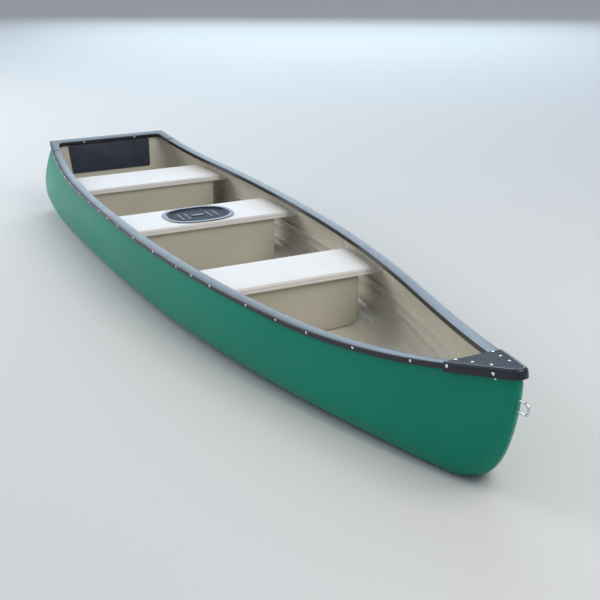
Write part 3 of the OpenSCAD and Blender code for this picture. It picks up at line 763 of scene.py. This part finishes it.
def make_cap_bolts():
    b = Build()
    for sign in (-1, 1):
        rivet(b, cap_bolt_frame(sign), BOLT_R, RAIL_T)
    b.object("transom_cap_bolts", "rivet_alloy", sharp=50)


def deck_edge():
    """Port edge of the deck cap in its own plane, from its aft end to the nose, with a round nose."""
    end = DECK_LEN - DECK_NOSE
    side = [(d / math.cos(DECK_A), half_beam(DECK_X + d) + DECK_OVER) for d in spread(0, end, 30)]
    meet = math.radians(75)
    r = side[-1][1] / math.sin(meet)
    centre = side[-1][0] - r * math.cos(meet)
    return side + [(centre + r * math.cos(a), r * math.sin(a)) for a in arc(8, 67, 0)]


DECK_DIP = 0.0008           # the cap's flat plate below its rolled edge


def make_deck_cap():
    b = Build()
    place = tilted(DECK_X, sheer(DECK_X) + DECK_LIFT, DECK_A)
    half = deck_edge()
    edge = half + [(u, -y) for u, y in reversed(half[:-1])]
    roll, roll_in, dip, groove = 0.016, 0.0128, DECK_DIP, 0.0016
    rows = []
    for (u, y), (nx, ny) in zip(edge, path_normals(edge)):
        row = [(u, y, -DECK_SKIRT), (u, y, -DECK_SKIRT * 0.7)]
        steps = [(roll_in * (1 - math.cos(a)), -roll * (1 - math.sin(a))) for a in arc(9)]
        steps += [(roll_in + groove, -0.0002), (roll_in + groove * 2, -dip)]
        rows.append(row + [(u - nx * inset, y - ny * inset, z) for inset, z in steps])
    aft_u = rows[0][0][0]
    for row in rows:
        for i, (u, y, w) in enumerate(row):
            row[i] = (max(aft_u, u), y, w)
    grid = b.grid([[place(*p) for p in row] for row in rows])
    b.zip_ring([r[-1] for r in grid])
    cap = b.object("bow_deck_cap", "vinyl_black", thick=RAIL_T - 0.0006, sharp=32)
    foot_x, _, foot_z = place(0, 0, -dip)

    def on_plate(p):
        rise, run = p.z - foot_z, p.x + ORIGIN_X - foot_x
        return abs(rise * math.cos(DECK_A) - run * math.sin(DECK_A)) < 0.0003

    mark_matte(cap, on_plate)


DECK_RIVETS = ((0.010, 0.082), (0.083, 0.061), (0.165, 0.039))      # forward of the aft edge, off the centre
DECK_SIDE = ((0.019, 0.015), (0.204, 0.022))                        # forward of the aft edge, below the top
STEM_RIVET_X, STEM_RIVET_Q, STEM_RIVET_DOWN = 4.590, 1.7, 0.039


def make_deck_rivets():
    place = tilted(DECK_X, sheer(DECK_X) + DECK_LIFT, DECK_A)
    up = Vector(place(0, 0, 1)) - Vector(place(0, 0, 0))
    top, side, stem = Build(), Build(), Build()
    for sign in (1, -1):
        for d, y in DECK_RIVETS:
            spot = place(d / math.cos(DECK_A), sign * y, -DECK_DIP)
            rivet(top, frame_at(spot, up, (0, 1, 0)), DECK_RIVET_R, RAIL_T)
        for d, down in DECK_SIDE:
            x = DECK_X + d
            slope = half_beam_slope(x) * math.cos(DECK_A)
            spot = place(d / math.cos(DECK_A), sign * (half_beam(x) + DECK_OVER), -down)
            out = Vector(place(-slope, sign, 0)) - Vector(place(0, 0, 0))
            rivet(side, frame_at(spot, out), BOLT_R)
        y = side_y(STEM_RIVET_X, STEM_RIVET_Q, 0)
        spot = (STEM_RIVET_X, sign * (y + 0.0002), sheer(STEM_RIVET_X) - STEM_RIVET_DOWN)
        rivet(stem, frame_at(spot, (-half_beam_slope(STEM_RIVET_X), sign, 0)), STEM_RIVET_R)
    top.object("deck_top_rivets", "rivet_alloy", sharp=50)
    side.object("deck_side_rivets", "rivet_alloy", sharp=50)
    stem.object("stem_rivets", "rivet_alloy", sharp=50)


# ---------------------------------------------------------------- motor pads

INNER_PAD_TOP = -0.040
OUTER_PAD_TOP = -RAIL_H - 0.012
PAD_FOOT = INNER_PAD_TOP - PAD_H
PAD_LEAN = 0.012            # the pads' feet are this much narrower at each side
PAD_CORNER, PAD_SOFT = 0.010, 0.0025
SCREW_IN, SCREW_DOWN, SCREW_R = 0.060, 0.030, 0.0058


def board(b, place, outline, thick, soft):
    """A flat board with softened edges on both faces, its outline counter-clockwise from the front."""
    around = list(zip(outline, loop_normals(outline)))
    rings = []
    for inset, depth in ([(soft * (1 - math.sin(a)), soft * (1 - math.cos(a))) for a in arc(4)] +
                         [(soft * (1 - math.cos(a)), thick - soft * (1 - math.sin(a))) for a in arc(4)]):
        rings.append([place(u + n[0] * inset, v + n[1] * inset, depth) for (u, v), n in around])
    grid = b.grid(rings, wrap_cols=True)
    b.fill(grid[0])
    b.fill(grid[-1])


def rounded_outline(corners, r, n=6):
    """A convex outline with every corner turned on radius r, counter-clockwise."""
    points = []
    for i, here in enumerate(corners):
        before, after = Vector(corners[i - 1]), Vector(corners[(i + 1) % len(corners)])
        p = Vector(here)
        d0, d1 = (before - p).normalized(), (after - p).normalized()
        half = d0.angle(d1) / 2
        centre = p + (d0 + d1).normalized() * (r / math.sin(half))
        a0 = math.atan2(*(reversed(p + d0 * r / math.tan(half) - centre)))
        a1 = math.atan2(*(reversed(p + d1 * r / math.tan(half) - centre)))
        if a1 < a0:
            a1 += 2 * math.pi
        points += [(centre.x + r * math.cos(a), centre.y + r * math.sin(a)) for a in spread(a0, a1, n)]
    return points


def on_transom(x0):
    """Across, up the slope and forward of the transom's line, x0 forward of its top edge."""
    c, s = math.cos(RAKE_A), math.sin(RAKE_A)
    return lambda y, v, w: (x0 - v * s + w * c, y, STERN_H + v * c + w * s)


def pad_outline(top):
    foot = PAD_HALF - PAD_LEAN
    return rounded_outline([(-foot, PAD_FOOT), (foot, PAD_FOOT), (PAD_HALF, top), (-PAD_HALF, top)],
                           PAD_CORNER)


def make_pads():
    b = Build()
    board(b, on_transom(X_PAD), pad_outline(INNER_PAD_TOP), PAD_T, PAD_SOFT)
    b.object("motor_pad_inner", "pad_board", sharp=40)
    b = Build()
    place = on_transom(X_SKIN - BOND - PAD_T)
    board(b, place, pad_outline(OUTER_PAD_TOP), PAD_T, PAD_SOFT)
    b.object("motor_pad_outer", "pad_board", sharp=40)
    b = Build()
    normal = Vector(place(0, 0, 0)) - Vector(place(0, 0, 1))
    for y in (-PAD_HALF + SCREW_IN, PAD_HALF - SCREW_IN):
        for v in (OUTER_PAD_TOP - SCREW_DOWN, PAD_FOOT + SCREW_DOWN):
            screw(b, frame_at(place(y, v, 0), normal), SCREW_R)
    b.object("motor_pad_screws", "rivet_alloy", sharp=40)


def screw(b, place, radius):
    """A pan head screw with a dimple, on a thin cup washer."""
    profile = ((0, 0), (1, 0), (1, 0.0006), (0.78, 0.0012), (0.72, 0.0012), (0.62, 0.0021), (0.45, 0.0026),
               (0.30, 0.0028), (0.26, 0.0020), (0, 0.0016))
    lathe(b, [(share * radius, h) for share, h in profile], place, 32)


# ---------------------------------------------------------------- seats

SEAT_GAP = 0.0025           # between a seat's ends and the inner skin


def seat_ring(i, inset_x, inset_end, z, r):
    """A rounded outline of a seat whose ends follow the hull, counter-clockwise from above, at height z."""
    n_turn, n_long, n_short = 7, 18, 6
    x0, x1 = SEAT_X[i] + inset_x, SEAT_X[i] + SEAT_DEPTH - inset_x

    def end(x):
        return inner_half(x, SEAT_H - SEAT_T / 2) - SEAT_GAP - inset_end

    corners = [(x0, -end(x0)), (x1, -end(x1)), (x1, end(x1)), (x0, end(x0))]
    turned = rounded_outline(corners, max(r, 0.0005), n_turn)
    m = n_turn + 1
    points = []
    for k in range(4):
        points += turned[k * m:(k + 1) * m]
        a, b = turned[(k + 1) * m - 1], turned[((k + 1) * m) % len(turned)]
        n = n_long if k % 2 else n_short
        for s in spread(0, 1, n)[1:-1]:
            x, y = a[0] + (b[0] - a[0]) * s, a[1] + (b[1] - a[1]) * s
            if k in (0, 2):
                straight = end(a[0]) + (end(b[0]) - end(a[0])) * s
                y += math.copysign(end(x) - straight, y)
            points.append((x, y))
    return [(x, y, z) for x, y in points]


def seat_top(i):
    """A moulded bench top: a thin lip out to the hull, a step, soft edges and a faintly crowned top."""
    low = SEAT_H - SEAT_T
    crown = 0.0012
    rings = [(0.0, 0.0, low, 0.004), (0.0, 0.0, low + 0.006, 0.004), (0.0008, 0.0008, low + 0.008, 0.005),
             (0.003, 0.004, low + 0.009, 0.007), (0.0045, 0.013, low + 0.0095, 0.012),
             (0.0050, 0.019, low + 0.0115, 0.016), (0.0052, 0.022, low + 0.015, 0.018)]
    soft_x, soft_end, rise = 0.017, 0.040, SEAT_T - crown - 0.015
    rings += [(0.0052 + soft_x * (1 - math.cos(a)), 0.022 + soft_end * (1 - math.cos(a)),
               low + 0.015 + rise * math.sin(a), 0.018 + 0.016 * (1 - math.cos(a))) for a in arc(9)[1:]]
    rings += [(0.045, 0.085, SEAT_H - crown * 0.7, 0.036), (0.09, 0.13, SEAT_H - crown * 0.25, 0.04),
              (0.15, 0.19, SEAT_H, 0.03)]
    b = Build()
    grid = b.grid([seat_ring(i, *ring) for ring in rings], wrap_cols=True)
    b.fill(grid[-1])
    name = SEAT_NAMES[i] + "_seat_top"
    return b.object(name, "seat_cream", thick=SEAT_WALL, sharp=40)


def oval_point(inset, a, z):
    """A point of the hatch's oval, a little fuller than an ellipse, shrunk by an inset."""
    c, s = math.cos(a), math.sin(a)
    x = (HATCH_HALF[0] - inset) * math.copysign(abs(c) ** 0.8, c)
    y = (HATCH_HALF[1] - inset) * math.copysign(abs(s) ** 0.8, s)
    return (HATCH_X + x, y, SEAT_H + z)


OVAL_N = 96


def oval_ring(inset, z):
    return [oval_point(inset, 2 * math.pi * (k + 0.5) / OVAL_N, z) for k in range(OVAL_N)]


def cut_hatch(piece):
    """Opens the oval in the middle seat top."""
    b = Build()
    grid = b.grid([oval_ring(HATCH_RING - 0.006, z) for z in (-0.05, 0.05)], wrap_cols=True)
    b.fill(grid[0])
    b.fill(grid[1])
    mesh = bpy.data.meshes.new("hatch_cutter")
    mesh.from_pydata([(x - ORIGIN_X, y, z) for x, y, z in b.points], [], b.faces)
    work = bmesh.new()
    work.from_mesh(mesh)
    bmesh.ops.recalc_face_normals(work, faces=work.faces)
    work.to_mesh(mesh)
    work.free()
    cutter = add_object("hatch_cutter", mesh)
    cut = piece.modifiers.new("hatch", "BOOLEAN")
    cut.operation = "DIFFERENCE"
    cut.solver = "EXACT"
    cut.object = cutter
    apply_modifiers(piece)
    bpy.data.objects.remove(cutter)
    finish_mesh(piece, 40)


BOX_CORNER = 0.040
BOX_GAP_TOP, BOX_GAP_FLOOR = 0.0006, 0.0012


def box_outline(i, inset, x):
    """Section of a seat box, from its port top edge down, over the floor and up to its starboard top edge."""
    w = BOX_HALF[i] - inset
    r = BOX_CORNER - inset
    top = SEAT_H - SEAT_WALL - BOX_GAP_TOP
    clear = BOX_GAP_FLOOR + inset
    base = max(floor_z(SEAT_X[i] + BOX_INSET, BOX_HALF[i]),
               floor_z(SEAT_X[i] + SEAT_DEPTH - BOX_INSET, BOX_HALF[i])) + clear
    half = [(w, z) for z in spread(top, base + r, 6)]
    for a in arc(8)[1:]:
        y = w - r * (1 - math.cos(a))
        half.append((y, floor_z(x, y) + clear + r * (1 - math.sin(a))))
    half += [(y, floor_z(x, y) + clear) for y in spread(w - r, 0, 16)[1:]]
    return half + [(-y, z) for y, z in reversed(half[:-1])]


def seat_box(i):
    """An open-topped tub with soft vertical corners that stands on the floor."""
    x0, x1 = SEAT_X[i] + BOX_INSET, SEAT_X[i] + SEAT_DEPTH - BOX_INSET
    soft = 0.010
    rows = [(x0 + soft * (1 - math.cos(a)), soft * (1 - math.sin(a))) for a in arc(6)]
    rows += [(x, 0.0) for x in spread(x0 + soft, x1 - soft, 6)[1:-1]]
    rows += [(x1 - soft * (1 - math.sin(a)), soft * (1 - math.cos(a))) for a in arc(6)]
    b = Build()
    grid = b.grid([[(x, y, z) for y, z in box_outline(i, inset, x)] for x, inset in rows])
    b.zip_ring(grid[0])
    b.zip_ring(grid[-1])
    name = SEAT_NAMES[i] + "_seat_box"
    b.object(name, "seat_tan", thick=SEAT_WALL - 0.001, sharp=40)


def make_seats():
    for i in range(3):
        piece = seat_top(i)
        if i == 1:
            cut_hatch(piece)
        seat_box(i)


# ---------------------------------------------------------------- hatch

LID_T = 0.004
GASKET_T = 0.003
RING_T = 0.004
RIM_GAP = 0.0003            # between the rim and the seat it is bonded to
NECK_T = 0.005
NECK_DROP = 0.012
LEDGE_W = 0.016
LID_TOP = RING_T - LID_DROP
SHELF_TOP = LID_TOP - LID_T - GASKET_T - 0.0002
RIB_Y = (-0.105, -0.065, 0.065, 0.105)


def swept_oval(b, profile):
    """Sweeps a closed profile of (inset, height) round the oval."""
    b.grid([oval_ring(inset, z) for inset, z in profile], wrap_rows=True, wrap_cols=True)


def make_hatch_rim():
    b = Build()
    soft = 0.0016
    top = [(soft * (1 - math.cos(a)), RING_T - soft * (1 - math.sin(a))) for a in arc(4)]
    crown = [(inset, RING_T) for inset in (0.006, 0.012, HATCH_RING - soft - 0.002)]
    fall = [(HATCH_RING - soft * (1 - math.sin(a)), RING_T - soft * (1 - math.cos(a))) for a in arc(4)]
    shelf = HATCH_RING + LEDGE_W
    foot = SHELF_TOP - RING_T
    tiny, neck = 0.0006, foot - NECK_DROP
    swept_oval(b, [(0, RIM_GAP)] + top + crown + fall + [
        (HATCH_RING, SHELF_TOP + 0.001), (HATCH_RING + 0.001, SHELF_TOP), (shelf - tiny, SHELF_TOP),
        (shelf, SHELF_TOP - tiny), (shelf, foot + tiny), (shelf - tiny, foot), (HATCH_RING + tiny, foot),
        (HATCH_RING, foot - tiny), (HATCH_RING, neck), (HATCH_RING - NECK_T, neck),
        (HATCH_RING - NECK_T, RIM_GAP)])
    b.object("hatch_rim", "hatch_black", sharp=40)


def make_gasket():
    b = Build()
    a, c = HATCH_RING + 0.003, HATCH_RING + LEDGE_W - 0.003
    mid, half = (a + c) / 2, (c - a) / 2
    swept_oval(b, [(mid + half * math.cos(t), SHELF_TOP + GASKET_T / 2 * (1 + math.sin(t)))
                   for t in spread(0, 2 * math.pi, 16)[:-1]])
    b.object("hatch_gasket", "gasket_rubber", sharp=60)


def soft_bar(b, half, y0, y1, rise, soft):
    """A raised bar on the lid, half as long each way in X, with rounded corners and a rounded top edge."""
    z0, z1 = LID_TOP - 0.001, LID_TOP + rise
    outline = rounded_outline([(HATCH_X - half, y0), (HATCH_X + half, y0), (HATCH_X + half, y1),
                               (HATCH_X - half, y1)], min(2 * half, y1 - y0) * 0.49, 8)
    normals = loop_normals(outline)
    rings = [[(x, y, SEAT_H + z0) for x, y in outline]]
    for a in arc(5):
        d, z = soft * (1 - math.cos(a)), z1 - soft * (1 - math.sin(a))
        rings.append([(x + n[0] * d, y + n[1] * d, SEAT_H + z) for (x, y), n in zip(outline, normals)])
    grid = b.grid(rings, wrap_cols=True)
    b.fill(grid[0])
    b.fill(grid[-1])


def make_lid():
    """A plate with a raised border, four ribs and a grip bar."""
    b = Build()
    z0 = LID_TOP - LID_T
    edge, border = HATCH_RING + 0.002, 0.006
    tight, soft, crest = 0.001, 0.0015, LID_TOP + 0.004
    rings = [(edge + 0.060, z0), (edge, z0), (edge, LID_TOP + 0.003)]
    rings += [(edge + tight * (1 - math.cos(a)), crest - tight * (1 - math.sin(a))) for a in arc(3)]
    rings += [(edge + border - soft * (1 - math.sin(a)), crest - soft * (1 - math.cos(a))) for a in arc(3)]
    rings += [(edge + border + soft * (1 - math.cos(a)), LID_TOP + soft * (1 - math.sin(a))) for a in arc(3)]
    rings += [(edge + 0.030, LID_TOP), (edge + 0.060, LID_TOP)]
    grid = b.grid([oval_ring(*r) for r in rings], wrap_cols=True)
    b.fill(grid[0])
    b.fill(grid[-1])
    for y in RIB_Y:
        soft_bar(b, 0.060, y - 0.005, y + 0.005, 0.003, 0.0025)
    soft_bar(b, 0.012, -0.040, 0.040, 0.005, 0.004)
    lid = b.object("hatch_lid", "hatch_black", body="lid", sharp=40)
    mark_matte(lid, lambda p: p.z < SEAT_H + LID_TOP + 0.0004)


# ---------------------------------------------------------------- tow eye

def tube(b, path, radius):
    """A round rod along a path in the plane y = 0."""
    turns = [2 * math.pi * k / 20 for k in range(20)]
    rings = []
    for i, (x, z) in enumerate(path):
        a, c = path[max(0, i - 1)], path[min(len(path) - 1, i + 1)]
        d = Vector((c[0] - a[0], 0, c[1] - a[1])).normalized()
        side = Vector((0, 1, 0))
        up = d.cross(side)
        p = Vector((x, 0, z))
        rings.append([p + (side * math.cos(t) + up * math.sin(t)) * radius for t in turns])
    grid = b.grid(rings, wrap_cols=True)
    b.fill(grid[0])
    b.fill(grid[-1])


def make_tow_eye():
    b = Build()
    bend = EYE_GAP / 2
    x_bend = EYE_FACE + EYE_REACH - bend
    x_in = EYE_FACE - EYE_TAIL
    path = [(x, EYE_Z - bend) for x in spread(x_in, x_bend, 24)]
    path += [(x_bend + bend * math.cos(a), EYE_Z + bend * math.sin(a)) for a in arc(28, -90, 90)[1:-1]]
    path += [(x, EYE_Z + bend) for x in spread(x_bend, x_in, 24)]
    tube(b, path, EYE_R)
    b.object("tow_eye", "eye_steel", sharp=50)


# ---------------------------------------------------------------- CAD pieces that keep their shape

KEPT = {
    "plywood": ("transom_core", "tow_eye_block"),
    "rail_alloy": ("gunwale_core_starboard", "gunwale_core_port"),
    "foam_white": ("stern_seat_foam", "bow_seat_foam"),
    "eye_steel": ("tow_eye_washers", "tow_eye_nuts"),
}


def dress_cad():
    """Gives the CAD pieces that are shown as they are their materials."""
    for slot, names in KEPT.items():
        for name in names:
            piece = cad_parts[name]
            for entry in piece.material_slots:
                entry.material = MATERIALS[slot]


# ---------------------------------------------------------------- stage, lights and camera

FLOOR_HALF = 40
SKY_COLOUR, SKY_STRENGTH = (0.80, 0.88, 1.0, 1), 0.54
# Name, place, target, size, power and colour of each area light
LIGHTS = (("key", (4.2, 1.6, 5.6), (0.2, 0, 0.2), 4.0, 230, (1.0, 0.96, 0.90)),
          ("side", (-6.2, -4.6, 3.8), (-0.6, 0, 0.2), 4.5, 380, (0.95, 0.98, 1.0)),
          ("back", (-9.0, 5.2, 5.2), (-1.0, 0.8, 0.0), 9.0, 600, (0.66, 0.84, 1.0)))
LENS, SENSOR = 67.64, 36
CAMERA_AT = (7.4907 - ORIGIN_X, -2.2752, 2.1025)
CAMERA_YAW, CAMERA_PITCH = math.radians(26.743), math.radians(20.441)


def make_floor():
    mesh = bpy.data.meshes.new("floor")
    far = FLOOR_HALF
    mesh.from_pydata([(-far, -far, 0), (far, -far, 0), (far, far, 0), (-far, far, 0)], [], [(0, 1, 2, 3)])
    floor = add_object("floor", mesh)
    made, _, shader = new_material("floor_grey")
    shader.inputs["Base Color"].default_value = (0.62, 0.61, 0.59, 1)
    shader.inputs["Roughness"].default_value = 0.9
    mesh.materials.append(made)


def area_light(name, place, target, size, power, colour):
    data = bpy.data.lights.new(name, "AREA")
    data.shape = "SQUARE"
    data.size = size
    data.energy = power
    data.color = colour
    light = add_object(name, data)
    light.location = place
    light.rotation_euler = (Vector(target) - Vector(place)).to_track_quat("-Z", "Y").to_euler()


def make_lights():
    world = bpy.data.worlds.new("studio")
    bpy.context.scene.world = world
    world.use_nodes = True
    background = world.node_tree.nodes["Background"]
    background.inputs["Color"].default_value = SKY_COLOUR
    background.inputs["Strength"].default_value = SKY_STRENGTH
    for light in LIGHTS:
        area_light(*light)


def make_camera():
    data = bpy.data.cameras.new("camera")
    data.lens = LENS
    data.sensor_width = SENSOR
    camera = add_object("camera", data)
    camera.location = CAMERA_AT
    level = math.cos(CAMERA_PITCH)
    forward = Vector((-math.cos(CAMERA_YAW) * level, math.sin(CAMERA_YAW) * level, -math.sin(CAMERA_PITCH)))
    camera.rotation_euler = forward.to_track_quat("-Z", "Y").to_euler()
    bpy.context.scene.camera = camera


make_camera()
make_hull()
make_gunwales()
make_gunwale_rivets()
make_transom_cap()
make_cap_bolts()
make_deck_cap()
make_deck_rivets()
make_pads()
make_seats()
make_hatch_rim()
make_gasket()
make_lid()
make_tow_eye()
dress_cad()
make_floor()
make_lights()
bpy.context.scene.view_settings.view_transform = "Standard"
